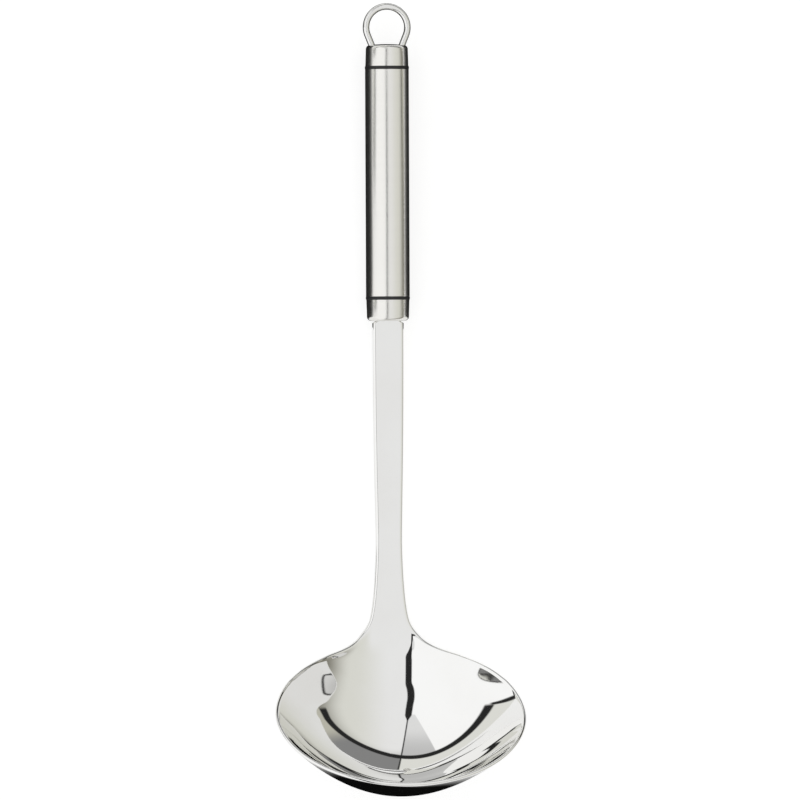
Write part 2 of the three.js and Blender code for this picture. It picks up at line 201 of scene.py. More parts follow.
class Value:
    """A number or vector on its way through a node tree."""

    def __init__(self, tree, socket):
        self.tree = tree
        self.socket = socket

    def maths(self, operation, *others):
        terms = dict(enumerate([self, *others]))
        return self.tree.node("ShaderNodeMath", {"operation": operation}, terms)[0]

    def __add__(self, other):
        return self.maths("ADD", other)

    def __sub__(self, other):
        return self.maths("SUBTRACT", other)

    def __rsub__(self, other):
        return (self * -1) + other

    def __mul__(self, other):
        return self.maths("MULTIPLY", other)

    __radd__ = __add__
    __rmul__ = __mul__

    def step(self, low, high):
        """Nothing up to low, all from high, and a smooth rise between."""
        return self.tree.node(
            "ShaderNodeMapRange",
            {"interpolation_type": "SMOOTHSTEP"},
            {"Value": self, "From Min": low, "From Max": high},
        )["Result"]

    def band(self, low, high, soft):
        return self.step(low - soft, low + soft) * (1 - self.step(high - soft, high + soft))


class Tree:
    """A node tree that is filled node by node."""

    def __init__(self, owner):
        owner.use_nodes = True
        self.nodes = owner.node_tree.nodes
        self.links = owner.node_tree.links
        self.nodes.clear()

    def node(self, kind, settings=None, sockets=None):
        made = self.nodes.new(kind)
        for name, value in (settings or {}).items():
            setattr(made, name, value)
        for name, value in (sockets or {}).items():
            if isinstance(value, Value):
                self.links.new(value.socket, made.inputs[name])
            else:
                made.inputs[name].default_value = value
        return {key: Value(self, out) for place, out in enumerate(made.outputs) for key in (place, out.name)}

    def level(self, vector):
        """Turns a vector from the frame's directions to the ladle's own."""
        return self.node(
            "ShaderNodeVectorRotate", {"rotation_type": "X_AXIS"}, {"Vector": vector, "Angle": -REST_LEAN}
        )["Vector"]

    def blend(self, share, first, second):
        mixed = self.node("ShaderNodeMix", {"data_type": "RGBA"}, {0: share, 6: first, 7: second})
        return mixed[2]


def grey(value):
    return (value, value, value, 1)


class Finish(Tree):
    """A material with one principled shader."""

    def __init__(self, name):
        self.material = bpy.data.materials.new(name)
        super().__init__(self.material)
        self.place = self.level(self.node("ShaderNodeTexCoord")["Object"])

    def noise(self, scale, stretch=(1, 1, 1), detail=3):
        at = self.node("ShaderNodeMapping", None, {"Vector": self.place, "Scale": stretch})["Vector"]
        settings = {"Vector": at, "Scale": scale, "Detail": detail}
        return self.node("ShaderNodeTexNoise", None, settings)[0]

    def bump(self, height, strength, distance):
        settings = {"Height": height, "Strength": strength, "Distance": distance}
        return self.node("ShaderNodeBump", None, settings)[0]

    def shade(self, **sockets):
        named = {name.replace("_", " "): value for name, value in sockets.items()}
        shader = self.node("ShaderNodeBsdfPrincipled", None, named)["BSDF"]
        self.node("ShaderNodeOutputMaterial", None, {"Surface": shader})
        return self.material


def polished_steel():
    finish = Finish("polished_steel")
    cloud = finish.noise(35, detail=4)
    smear = finish.noise(420, (1, 0.25, 1), detail=2)
    colour = finish.blend(cloud.step(0.3, 0.7), (0.90, 0.895, 0.88, 1), (0.925, 0.925, 0.915, 1))
    return finish.shade(
        Base_Color=colour,
        Metallic=1.0,
        Roughness=0.02 + cloud * 0.015 + smear * 0.01,
        Normal=finish.bump(smear, 0.02, 0.00005),
    )


def satin_steel(name, tone):
    """Fine marks that run round the handle."""
    finish = Finish(name)
    marks = finish.noise(1, (40, 5200, 40), detail=2)
    bands = finish.noise(1, (25, 900, 25), detail=3)
    colour = finish.blend(bands.step(0.3, 0.7), tuple(c * 0.985 for c in tone) + (1,), tone + (1,))
    return finish.shade(
        Base_Color=colour,
        Metallic=1.0,
        Roughness=0.19 + bands * 0.03 + marks * 0.02,
        Normal=finish.bump(marks * 0.7 + bands * 0.3, 0.01, 0.00004),
    )


def wire_steel():
    finish = Finish("wire_steel")
    cloud = finish.noise(160, detail=3)
    colour = finish.blend(cloud, (0.86, 0.855, 0.84, 1), (0.91, 0.91, 0.9, 1))
    return finish.shade(
        Base_Color=colour,
        Metallic=1.0,
        Roughness=0.08 + cloud * 0.06,
        Normal=finish.bump(cloud, 0.05, 0.00005),
    )


def pin_steel():
    finish = Finish("pin_steel")
    turning = finish.noise(1, (300, 300, 4000), detail=2)
    colour = finish.blend(turning, (0.66, 0.67, 0.68, 1), (0.74, 0.75, 0.76, 1))
    return finish.shade(
        Base_Color=colour,
        Metallic=1.0,
        Roughness=0.28 + turning * 0.12,
        Normal=finish.bump(turning, 0.1, 0.00005),
    )


def black_rubber():
    finish = Finish("black_rubber")
    grain = finish.noise(3500, detail=3)
    colour = finish.blend(grain, (0.011, 0.011, 0.012, 1), (0.02, 0.02, 0.021, 1))
    return finish.shade(
        Base_Color=colour,
        Roughness=0.42 + grain * 0.14,
        Normal=finish.bump(grain, 0.15, 0.00003),
    )


def plug_plastic():
    finish = Finish("plug_plastic")
    grain = finish.noise(1800, detail=4)
    flow = finish.noise(90, (1, 0.4, 1), detail=2)
    colour = finish.blend(flow, (0.026, 0.026, 0.028, 1), (0.036, 0.036, 0.038, 1))
    return finish.shade(
        Base_Color=colour,
        Roughness=0.45 + grain * 0.15,
        Normal=finish.bump(grain, 0.12, 0.00005),
    )


# Meshes

def new_piece(name, mesh, material, slot, *nodes):
    """A finished piece that stands for CAD nodes."""
    mesh.name = name
    mesh.materials.clear()
    mesh.materials.append(material)
    piece = bpy.data.objects.new(name, mesh)
    bpy.context.scene.collection.objects.link(piece)
    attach(piece, "root")
    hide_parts(*nodes)
    return piece


def tidy_mesh(mesh, sharp_angle):
    """Welds the seams, turns the faces outwards and smooths all but the sharp edges."""
    shape = bmesh.new()
    shape.from_mesh(mesh)
    bmesh.ops.remove_doubles(shape, verts=shape.verts, dist=WELD_DISTANCE)
    bmesh.ops.dissolve_degenerate(shape, edges=shape.edges, dist=COLLAPSED_EDGE)
    bmesh.ops.recalc_face_normals(shape, faces=shape.faces)
    shape.to_mesh(mesh)
    shape.free()
    mesh.shade_smooth()
    mesh.set_sharp_from_angle(angle=math.radians(sharp_angle))
    return mesh


def eased(distance, ease):
    """Nothing before the start, then as far as has been run, with a soft start."""
    return np.where(distance > ease, distance, np.maximum(distance + ease, 0) ** 2 / (4 * ease))


def over_neck(points):
    """Height over the shaft's plane, less the neck's curled sides, plus the hollow into the bowl."""
    across, back, out = points[..., 0], points[..., 1], points[..., 2]
    into = -HOLLOW_START - RIM_STATION - back * math.sin(BOWL_TILT) - out * math.cos(BOWL_TILT)
    share = np.clip(into / HOLLOW_BLEND + 0.5, 0, 1)
    hollow = share ** 2 * (3 - 2 * share)
    aside = np.maximum(np.abs(across) - NECK_FLAT, 0)
    ahead = np.maximum(into - HOLLOW_RUN, 0)
    steeper = (across / HOLLOW_STEEPENING) ** 2
    hollow_rise = across ** 2 / (2 * HOLLOW_RADIUS) * (1 + steeper)
    hollow_slope = np.abs(across) / HOLLOW_RADIUS * (1 + 2 * steeper)
    side_rise = NECK_CURL * aside ** 2 * (1 - hollow) + hollow_rise * hollow
    side_slope = 2 * NECK_CURL * aside * (1 - hollow) + hollow_slope * hollow
    sunk = HOLLOW_SLOPE * eased(into, HOLLOW_EASE) - HOLLOW_CLOSE * ahead ** 2
    height = SHAFT_DROP - back * math.cos(BOWL_TILT) + out * math.sin(BOWL_TILT)
    return (height + sunk - side_rise) / np.sqrt(1 + side_slope ** 2 + (2 * HOLLOW_CLOSE * ahead) ** 2)


def room_above(points):
    """Room above the metal, in the rim's directions: inside the bowl, or over the shaft and the neck."""
    across, back, out = points[..., 0], points[..., 1], points[..., 2]
    share_across = across / BOWL_HALF_WIDTH
    share_back = back / BOWL_HALF_LENGTH
    lengthwise = share_back ** 2 / np.maximum(share_across ** 2 + share_back ** 2, 1e-9)
    arc_cos = CROSSWISE_COS + (LENGTHWISE_COS - CROSSWISE_COS) * lengthwise
    arc_sin = np.sqrt(1 - arc_cos ** 2)
    below = np.maximum(arc_cos - (1 - arc_cos) * out / BOWL_DEPTH, 0)
    scaled = np.sqrt((share_across * arc_sin) ** 2 + (share_back * arc_sin) ** 2 + below ** 2)
    growth = np.sqrt(
        (share_across * arc_sin ** 2 / BOWL_HALF_WIDTH) ** 2
        + (share_back * arc_sin ** 2 / BOWL_HALF_LENGTH) ** 2
        + (below * (1 - arc_cos) / BOWL_DEPTH) ** 2
    )
    in_bowl = (1 - scaled) * scaled / np.maximum(growth, 1e-6)
    in_neck = over_neck(points)
    bend = NECK_BEND + NECK_EASE * (np.hypot(across, NECK_EASE_START) - NECK_EASE_START)
    blend = np.maximum(bend - np.abs(in_bowl - in_neck), 0)
    return np.maximum(in_bowl, in_neck) + blend ** 2 / (4 * bend)


def upwards(points):
    """Unit normals of the upper face, in the rim's directions."""
    step = 0.01
    slopes = [room_above(points + step * axis) - room_above(points - step * axis) for axis in np.eye(3)]
    normal = np.stack(slopes, -1)
    return normal / np.linalg.norm(normal, axis=-1, keepdims=True)


def to_rim(points):
    return (points - RIM_CENTRE) @ RIM_AXES.T


def from_rim(points):
    return points @ RIM_AXES + RIM_CENTRE


def halved(clear, blocked, point_at):
    """Narrows down, for each line, where the room above the metal ends."""
    for _ in range(HALVINGS):
        middle = (clear + blocked) / 2
        free = room_above(point_at(middle)) > 0
        clear = np.where(free, middle, clear)
        blocked = np.where(free, blocked, middle)
    return clear


def bezier(start, first, second, end, count):
    share = np.linspace(0, 1, count)[:, None]
    rest = 1 - share
    middle = 3 * rest ** 2 * share * first + 3 * rest * share ** 2 * second
    return rest ** 3 * start + middle + share ** 3 * end


def scaled_to(vector, length):
    vector = np.asarray(vector, float)
    return vector * (length / np.linalg.norm(vector))


def neck_face(plan):
    """Points of the upper face straight below points of the neck's plan."""
    def at(height):
        return to_rim(np.column_stack([plan, height]))
    count = len(plan)
    return at(halved(np.full(count, RIM_HEIGHT), np.full(count, -TUBE_RADIUS - RING_PROUD), at))


def sheet_outline():
    """Edge of the upper face in the rim's directions, once round from the bowl's front."""
    flare_angle = math.acos(FLARE_HALF_WIDTH / BOWL_HALF_WIDTH)
    angle = np.linspace(-math.pi / 2, flare_angle, RIM_STEPS + 1)
    rim = np.column_stack([BOWL_HALF_WIDTH * np.cos(angle), BOWL_HALF_LENGTH * np.sin(angle), 0 * angle])
    lean = math.sin(BOWL_TILT)
    start = np.array([rim[-1, 0], RIM_STATION + rim[-1, 1] * lean])
    course = (-BOWL_HALF_WIDTH * math.sin(flare_angle), BOWL_HALF_LENGTH * math.cos(flare_angle) * lean)
    corner = np.array([NECK_HALF_WIDTH - SHAFT_THICKNESS / 2, 0])
    flare = bezier(
        start,
        start + scaled_to(course, FLARE_PULL * NECK_REACH),
        corner + scaled_to((NECK_TAPER, -1), SEAM_PULL * NECK_REACH),
        corner,
        FLARE_STEPS + 1,
    )
    seam = corner * np.linspace(1, 0, SEAM_STEPS + 1)[1:, None]
    upright = rim[rim[:, 1] < BOWL_HALF_LENGTH / 2]
    dipping = rim[len(upright):-1, :2] * np.array([1, lean]) + np.array([0, RIM_STATION])
    right = np.concatenate([upright, neck_face(np.concatenate([dipping, flare, seam]))])
    left = right[-2:0:-1] * np.array([-1, 1, 1])
    return np.concatenate([right, left])


def sheet_thickness(back):
    share = np.clip((back - SEAM_REACH + THICKEN_START) / (THICKEN_START - THICKEN_END), 0, 1)
    return BOWL_WALL + (SHAFT_THICKNESS - BOWL_WALL) * share ** 2 * (3 - 2 * share)


def ring_faces(rings, count, skip=()):
    """Quads between rings of as many points, one after another in the list of points."""
    faces = []
    for ring in range(rings - 1):
        for point in range(count):
            after = (point + 1) % count
            if (ring, point) in skip:
                continue
            low, high = ring * count, (ring + 1) * count
            faces.append((low + point, low + after, high + after, high + point))
    return faces


def bowl_and_neck():
    """Under face from the middle outwards, round the edge, and back over the upper face."""
    outline = sheet_outline()
    count = len(outline)
    angle = np.linspace(0, math.pi / 2, BOWL_RINGS + 1)[1:, None, None]
    bottom = np.array([0, 0, -BOWL_DEPTH])
    aims = outline[None] * np.sin(angle) + bottom * np.cos(angle)
    share = halved(np.zeros(aims.shape[:2]), np.full(aims.shape[:2], 2.0), lambda s: aims * s[..., None])
    upper = aims * share[..., None]
    normal = upwards(upper)
    thickness = sheet_thickness(upper[..., 1])[..., None]
    under = upper - normal * thickness
    edge, up, half = upper[-1], normal[-1], thickness[-1] / 2
    outwards = np.cross(np.roll(edge, -1, 0) - np.roll(edge, 1, 0), up)
    outwards /= np.linalg.norm(outwards, axis=1, keepdims=True)
    corner = RIM_STEPS + FLARE_STEPS
    from_front = np.minimum(np.arange(count), count - np.arange(count))
    squared = np.clip((from_front - corner) / SQUARING_STEPS + 1, 0, 1)
    outwards += squared[:, None] * (np.sign(edge[:, :1]) * np.array([1, 0, 0]) - outwards)
    outwards /= np.maximum(np.linalg.norm(outwards, axis=1, keepdims=True), 1e-9)
    turns = np.linspace(math.pi, 0, EDGE_STEPS + 1)[1:-1, None, None]
    rounded = edge + up * half * (np.cos(turns) - 1) + outwards * half * np.sin(turns)
    rings = np.concatenate([under, rounded, upper[::-1]])
    seam = range(corner, count - corner)
    skip = {(ring, point) for ring in range(BOWL_RINGS - 1, BOWL_RINGS + EDGE_STEPS - 1) for point in seam}
    points = from_rim(rings.reshape(-1, 3))
    under_pole = bottom - upwards(bottom[None] + 1e-6)[0] * BOWL_WALL
    poles = from_rim(np.stack([under_pole, bottom]))
    faces = ring_faces(len(rings), count, skip)
    first, last = len(points), len(points) + 1
    final_ring = (len(rings) - 1) * count
    for point in range(count):
        after = (point + 1) % count
        faces.append((first, after, point))
        faces.append((last, final_ring + point, final_ring + after))
    return np.concatenate([points, poles]), faces


def shaft_half_widths():
    """Half-width at each station from the seam to the end of the tang."""
    waist, top = WAIST_WIDTH / 2, SHAFT_TOP_WIDTH / 2
    pull = NECK_SIDE_PULL * WAIST_STATION
    shoulder = FERRULE_START - SHOULDER_DROP
    lower = bezier(
        np.array([NECK_HALF_WIDTH, 0]),
        np.array([NECK_HALF_WIDTH - NECK_TAPER * pull, pull]),
        np.array([waist, BELOW_WAIST_PULL * WAIST_STATION]),
        np.array([waist, WAIST_STATION]),
        LOWER_SIDE_POINTS,
    )
    upper = bezier(
        np.array([waist, WAIST_STATION]),
        np.array([waist, ABOVE_WAIST_PULL * WAIST_STATION]),
        np.array([top, TOP_SIDE_PULL * WAIST_STATION]),
        np.array([top, shoulder]),
        UPPER_SIDE_POINTS,
    )
    tang = TANG_WIDTH / 2
    end = FERRULE_START + TANG_LENGTH
    steps = [
        (tang + SHOULDER_WIDTH, FERRULE_START),
        (tang, FERRULE_START),
        (tang, end - tang / 2),
        (tang / 2, end),
    ]
    return np.concatenate([lower, upper[1:], np.array(steps)])


def shaft():
    """Flat strip with half-round edges, section by section."""
    round_edge = SHAFT_THICKNESS / 2
    turns = np.linspace(0, math.pi, EDGE_STEPS + 1)[1:-1]
    sections = []
    for half_width, station in shaft_half_widths():
        flat = np.linspace(half_width - round_edge, round_edge - half_width, 2 * SEAM_STEPS + 1)
        bulge = half_width - round_edge + round_edge * np.sin(turns)
        rise = round_edge * np.cos(turns)
        across = np.concatenate([flat, -bulge, flat[::-1], bulge])
        height = np.concatenate([0 * flat + round_edge, rise, 0 * flat - round_edge, rise[::-1]])
        sections.append(np.column_stack([across, 0 * across + station, height]))
    count = len(sections[0])
    faces = ring_faces(len(sections), count)
    faces.append(tuple(range((len(sections) - 1) * count, len(sections) * count)))
    return np.concatenate(sections), faces


def bowl_and_shaft(material):
    bowl_points, bowl_faces = bowl_and_neck()
    shaft_points, shaft_faces = shaft()
    offset = len(bowl_points)
    faces = bowl_faces + [tuple(index + offset for index in face) for face in shaft_faces]
    mesh = bpy.data.meshes.new("pressing")
    mesh.from_pydata(placed(np.concatenate([bowl_points, shaft_points])).tolist(), [], faces)
    tidy_mesh(mesh, 50)
    return new_piece("polished_bowl_and_shaft", mesh, material, "polished_steel", "bowl_and_shaft")


# Geometry node trees

class Shaping:
    """A geometry node tree with named inputs, used once as a modifier and made into a plain mesh."""

    def __init__(self, name):
        self.group = bpy.data.node_groups.new(name, "GeometryNodeTree")
        self.group.interface.new_socket("Geometry", in_out="INPUT", socket_type="NodeSocketGeometry")
        self.group.interface.new_socket("Geometry", in_out="OUTPUT", socket_type="NodeSocketGeometry")
        self.identifiers = {}
        self.start = self.group.nodes.new("NodeGroupInput")

    def input(self, name, kind):
        socket = self.group.interface.new_socket(name, in_out="INPUT", socket_type=kind)
        self.identifiers[name] = socket.identifier
        return self.start.outputs[name]

    def node(self, kind, settings=None, sockets=None):
        made = self.group.nodes.new(kind)
        for name, value in (settings or {}).items():
            setattr(made, name, value)
        for name, value in (sockets or {}).items():
            if isinstance(value, bpy.types.NodeSocket):
                self.group.links.new(value, made.inputs[name])
            else:
                made.inputs[name].default_value = value
        return made

    def end(self, geometry):
        realized = self.node("GeometryNodeRealizeInstances", None, {"Geometry": geometry}).outputs[0]
        finish = self.input("Finish", "NodeSocketMaterial")
        sockets = {"Geometry": realized, "Material": finish}
        finished = self.node("GeometryNodeSetMaterial", None, sockets).outputs[0]
        self.node("NodeGroupOutput", None, {"Geometry": finished})

    def mesh(self, source, **inputs):
        carrier = bpy.data.objects.new(self.group.name, source)
        bpy.context.scene.collection.objects.link(carrier)
        modifier = carrier.modifiers.new("shaping", "NODES")
        modifier.node_group = self.group
        for name, value in inputs.items():
            modifier[self.identifiers[name.replace("_", " ")]] = value
        evaluated = carrier.evaluated_get(bpy.context.evaluated_depsgraph_get())
        result = bpy.data.meshes.new_from_object(evaluated)
        bpy.data.objects.remove(carrier)
        return result


def line_curve(name, points, closed=False):
    curve = bpy.data.curves.new(name, "CURVE")
    curve.dimensions = "3D"
    spline = curve.splines.new("POLY")
    spline.points.add(len(points) - 1)
    spline.points.foreach_set("co", [value for point in points for value in (*point, 1)])
    spline.use_cyclic_u = closed
    return curve


def turning():
    """Turns a profile of radius and station round the handle's axis."""
    shaping = Shaping("turning")
    profile = shaping.start.outputs["Geometry"]
    segments = shaping.input("Segments", "NodeSocketInt")
    centre = shaping.input("Axis Point", "NodeSocketVector")
    round_path = {"Resolution": segments, "Radius": SWEEP_RADIUS * MM}
    path = shaping.node("GeometryNodeCurvePrimitiveCircle", None, round_path).outputs[0]
    upright = shaping.node("GeometryNodeSetCurveNormal", {"mode": "Z_UP"}, {"Curve": path}).outputs[0]
    sweep = {"Curve": upright, "Profile Curve": profile}
    swept = shaping.node("GeometryNodeCurveToMesh", None, sweep).outputs[0]
    along = shaping.node(
        "GeometryNodeTransform",
        None,
        {"Geometry": swept, "Translation": centre, "Rotation": (REST_LEAN - math.pi / 2, 0, 0)},
    ).outputs[0]
    shaping.end(along)
    return shaping


def turned_piece(shaping, name, profile, material, slot, *nodes):
    points = [((radius - SWEEP_RADIUS) * MM, -station * MM, 0) for radius, station in profile]
    mesh = shaping.mesh(
        line_curve(name, points, closed=True),
        Segments=TURNED_SEGMENTS,
        Axis_Point=SEAM_POINT.tolist(),
        Finish=material,
    )
    return new_piece(name, tidy_mesh(mesh, 35), material, slot, *nodes)


def rounding(radius, station, size, first, last, count):
    """Points of a round corner about a centre, between two angles in degrees."""
    angles = np.radians(np.linspace(first, last, count))
    return [(radius + size * math.cos(a), station + size * math.sin(a)) for a in angles]


def tube_profile():
    return [
        (TUBE_BORE, TUBE_START),
        *rounding(TUBE_RADIUS - BRIM, TUBE_START + BRIM, BRIM, -90, 0, BRIM_POINTS),
        *rounding(TUBE_RADIUS - BRIM, TUBE_END - BRIM, BRIM, 0, 90, BRIM_POINTS),
        (TUBE_BORE, TUBE_END),
    ]


def ring_profile(start):
    shares = np.linspace(0, 1, RING_POINTS)
    bulge = [(TUBE_RADIUS + RING_PROUD * math.sin(math.pi * s), start + RING_WIDTH * s) for s in shares]
    return [(PLUG_RADIUS, start), *bulge, (PLUG_RADIUS, start + RING_WIDTH)]


def ferrule_profile():
    flat = CAP_END_RADIUS - CAP_CORNER
    return [
        (NEAR_AXIS, FERRULE_START),
        *rounding(flat, FERRULE_START + CAP_CORNER, CAP_CORNER, -90, 0, CORNER_POINTS),
        *rounding(CAP_OPEN_RADIUS - BRIM, LOWER_RING - BRIM, BRIM, 0, 90, BRIM_POINTS),
        (PLUG_RADIUS, LOWER_RING),
        (PLUG_RADIUS, FERRULE_START + CAP_FLOOR),
        (NEAR_AXIS, FERRULE_START + CAP_FLOOR),
    ]


def cap_profile():
    flat = CAP_END_RADIUS - CAP_CORNER
    dome = np.linspace(0.85 * flat, 0.1 * flat, DOME_POINTS)
    return [
        (NEAR_AXIS, CAP_TOP - CAP_FLOOR),
        (PLUG_RADIUS, CAP_TOP - CAP_FLOOR),
        (PLUG_RADIUS, CAP_START),
        *rounding(CAP_OPEN_RADIUS - BRIM, CAP_START + BRIM, BRIM, -90, 0, BRIM_POINTS),
        *rounding(flat, CAP_TOP - CAP_CORNER, CAP_CORNER, 0, 90, CORNER_POINTS),
        *[(radius, CAP_TOP + CAP_DOME * (1 - (radius / flat) ** 2)) for radius in dome],
        (NEAR_AXIS, CAP_TOP + CAP_DOME),
    ]


# Hanging loop
LEG_ENTRY = CAP_END_RADIUS - LEG_INSET
EYE_HEIGHT = LOOP_RADIUS * LOOP_STAND
LEG_ANGLE = math.acos(LOOP_RADIUS / math.hypot(LEG_ENTRY, EYE_HEIGHT)) - math.atan2(EYE_HEIGHT, LEG_ENTRY)
LEG_LEAN = math.tan(-LEG_ANGLE)
SHANK_OFFSET = LEG_ENTRY - LEG_LEAN * LEG_DEPTH
BEND_STATION = CAP_TOP - LEG_DEPTH


def wire_course():
    """Middle line of the wire from one shank, round the eye, to the other."""
    bottom = BEND_STATION - LEG_BEND - SHANK_LENGTH
    shares = np.linspace(0, 1, BEND_POINTS)
    bend = [
        (
            SHANK_OFFSET + LEG_BEND * LEG_LEAN * share ** 2,
            BEND_STATION - LEG_BEND + 2 * LEG_BEND * share * (1 - share) + 2 * LEG_BEND * share ** 2,
        )
        for share in shares
    ]
    first = math.degrees(LEG_ANGLE)
    eye = rounding(0, CAP_TOP + EYE_HEIGHT, LOOP_RADIUS, first, 180 - first, EYE_POINTS)
    half = [(SHANK_OFFSET, bottom), *bend]
    return [*half, *eye, *[(-across, station) for across, station in half[::-1]]]


def wire_drawing():
    """Sweeps a round wire along its course."""
    shaping = Shaping("wire_drawing")
    course = shaping.start.outputs["Geometry"]
    radius = shaping.input("Wire Radius", "NodeSocketFloat")
    round_wire = {"Resolution": WIRE_SIDES, "Radius": radius}
    section = shaping.node("GeometryNodeCurvePrimitiveCircle", None, round_wire).outputs[0]
    sweep = {"Curve": course, "Profile Curve": section, "Fill Caps": True}
    swept = shaping.node("GeometryNodeCurveToMesh", None, sweep).outputs[0]
    shaping.end(swept)
    return shaping


def hanging_loop(shaping, material):
    points = placed([(across, station, 0) for across, station in wire_course()])
    course = line_curve("wire_course", points)
    mesh = shaping.mesh(course, Wire_Radius=WIRE_DIAMETER / 2 * MM, Finish=material)
    return new_piece("wire_loop", tidy_mesh(mesh, 50), material, "wire_steel", "hanging_loop")


polished = polished_steel()
satin = satin_steel("satin_steel", (0.89, 0.88, 0.85))
rubber = black_rubber()
plastic = plug_plastic()

bowl_and_shaft(polished)
turn = turning()
turned_piece(turn, "satin_tube", tube_profile(), satin, "satin_steel", "handle_tube")
turned_piece(turn, "satin_ferrule", ferrule_profile(), satin, "satin_steel", "lower_ferrule")
turned_piece(turn, "satin_end_cap", cap_profile(), satin, "satin_steel", "end_cap")
turned_piece(turn, "lower_black_ring", ring_profile(LOWER_RING), rubber, "black_rubber", "lower_seal_ring")
turned_piece(turn, "upper_black_ring", ring_profile(TUBE_END), rubber, "black_rubber", "upper_seal_ring")
hanging_loop(wire_drawing(), wire_steel())

inner = {"lower_plug": plastic, "upper_plug": plastic, "tang_pin": pin_steel()}
for node_name, material in inner.items():
    node_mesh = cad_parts[node_name].data
    node_mesh.materials.clear()
    node_mesh.materials.append(material)


# Stage

FLOOR_REACH = 6
PAPER_GLOW = 0.76
REFLECTED_GLOW = 0.8

# Dark sheets of painted shade on the floor, seen only in the steel's reflections: station of the middle,
# half-width and half-length, in metres
SHADE_SHEET_LIFT = 0.0003
HANDLE_SHADE_SHEET = (0.096, 0.2, 0.069)
BOWL_SHADE_SHEET = (-0.165, 0.045, 0.065)

# The studio as the steel shows it, in the ladle's own directions: x across, y to the loop, z up.
# A pair of numbers is where a tone starts to change and where the change ends, or a strip's two sides.
SOFT, CRISP = 0.02, 0.01
SLIT_LEAN, SLIT_TURN = 0.2, 0.087
SLIT_HALF_WIDTH, SLIT_LOSS, SLIT_NARROWS = 0.06, 0.048, (0.1, 0.26)
SCREEN_LEAN, SCREEN_TURN, SCREEN_ENDS = 0.258, 0.484, (0.08, 0.13)
WALL_TURNS, WALL_FOOT = (0.1, 0.8), (0.1, 0.6)
GLASS_FADES = (0.4, 0.9)
TABLE_BOW, TABLE_TILT, TABLE_EDGE, TABLE_STARTS = 0.12, 0.35, (0.22, 0.3), (0.02, 0.12)
BELT, BELT_SOFT = (0.2, 0.31), 0.015
SKIRT, SKIRT_SOFT, SKIRT_STARTS = (-0.4, 0.25), 0.03, (0.35, 0.6)
POST_ACROSS, POST_ALONG, POST_UP = (-0.94, -0.92), (0.02, 0.09), (-0.2, 0.25)
POST_SOFT, POST_END_SOFT = 0.015, 0.03

WALL_TONE, WALL_FAR_TONE, WALL_FOOT_TONE = grey(0.84), (0.72, 0.72, 0.67, 1), (0.2, 0.19, 0.155, 1)
SCREEN_TONE, GLASS_TONE, GLASS_FAR_TONE = grey(1), grey(0.76), grey(0.55)
TABLE_TONE, TABLE_BY_WALL_TONE = (0.76, 0.76, 0.72, 1), (0.5, 0.49, 0.42, 1)
SKIRT_TONE, DARK_TONE = grey(0.24), grey(0.022)


def stage_sheet(name, station, half_width, half_length, height, material):
    """A flat sheet across the ladle's middle plane."""
    front, back = station - half_length, station + half_length
    outline = [(-half_width, front), (half_width, front), (half_width, back), (-half_width, back)]
    mesh = bpy.data.meshes.new(name)
    mesh.from_pydata([(x, y, height) for x, y in outline], [], [tuple(range(len(outline)))])
    mesh.materials.append(material)
    sheet = bpy.data.objects.new(name, mesh)
    bpy.context.scene.collection.objects.link(sheet)
    return sheet


def paper_white():
    """White paper that stays white in the picture and in reflections and still takes a shadow."""
    tree = Finish("paper_white")
    fibre = tree.noise(60, detail=4)
    colour = tree.blend(fibre, grey(0.39), grey(0.41))
    paper = tree.node("ShaderNodeBsdfDiffuse", None, {"Color": colour})[0]
    path = tree.node("ShaderNodeLightPath")
    seen = path["Is Camera Ray"] + (path["Is Glossy Ray"] + path["Is Transmission Ray"]) * REFLECTED_GLOW
    glow = tree.node("ShaderNodeEmission", None, {"Color": grey(1), "Strength": seen * PAPER_GLOW})[0]
    both = tree.node("ShaderNodeAddShader", None, {0: paper, 1: glow})[0]
    tree.node("ShaderNodeOutputMaterial", None, {"Surface": both})
    return tree.material


def painted_shade_sheet(name, middle, sides):
    """Dark sheet of painted shade, lighter towards its sides."""
    tree = Finish(name)
    fibre = tree.noise(200, detail=3)
    aside = tree.node("ShaderNodeSeparateXYZ", None, {"Vector": tree.place})["X"].maths("ABSOLUTE")
    # Painted shade: darkest along the middle under the handle, lighter towards the sides
    tone = tree.blend(aside.step(0.02, 0.16), grey(middle), grey(sides))
    colour = tree.blend(fibre * 0.3, tone, grey(0))
    return tree.shade(Base_Color=colour, Roughness=0.9, Specular_IOR_Level=0.0)


def soft_painted_shadow(name, station, half_width, half_length):
    """Black oval of painted shadow that fades out towards its edge."""
    tree = Finish(name)
    fibre = tree.noise(200, detail=3)
    place = tree.node("ShaderNodeSeparateXYZ", None, {"Vector": tree.place})
    across = place["X"] * (1 / half_width)
    along = (place["Y"] - station) * (1 / half_length)
    # Painted shadow: a black oval, fading out towards its edge, that the bowl's steel shows
    return tree.shade(
        Base_Color=tree.blend(fibre, grey(0.004), grey(0.006)),
        Roughness=0.9,
        Specular_IOR_Level=0.0,
        Alpha=1 - (across * across + along * along).step(0.35, 1),
    )


def place_reflected_shade(name, place, material):
    """A sheet of painted shade on the table that darkens what the steel shows of it; the camera, diffuse
    light and shadows don't see it.
    """
    sheet = stage_sheet(name, *place, SHADE_SHEET_LIFT, material)
    # Painted shade: the sheet shows only in reflections
    sheet.visible_camera = False
    sheet.visible_diffuse = False
    sheet.visible_shadow = False


stage_sheet("floor", 0, FLOOR_REACH, FLOOR_REACH, 0, paper_white())
# Painted shade under the handle and painted shadow under the bowl, both seen only in the steel's reflections
place_reflected_shade("handle_painted_shade", HANDLE_SHADE_SHEET, painted_shade_sheet("handle_painted_shade", 0.03, 0.75))
place_reflected_shade("bowl_painted_shadow", BOWL_SHADE_SHEET, soft_painted_shadow("bowl_painted_shadow", *BOWL_SHADE_SHEET))


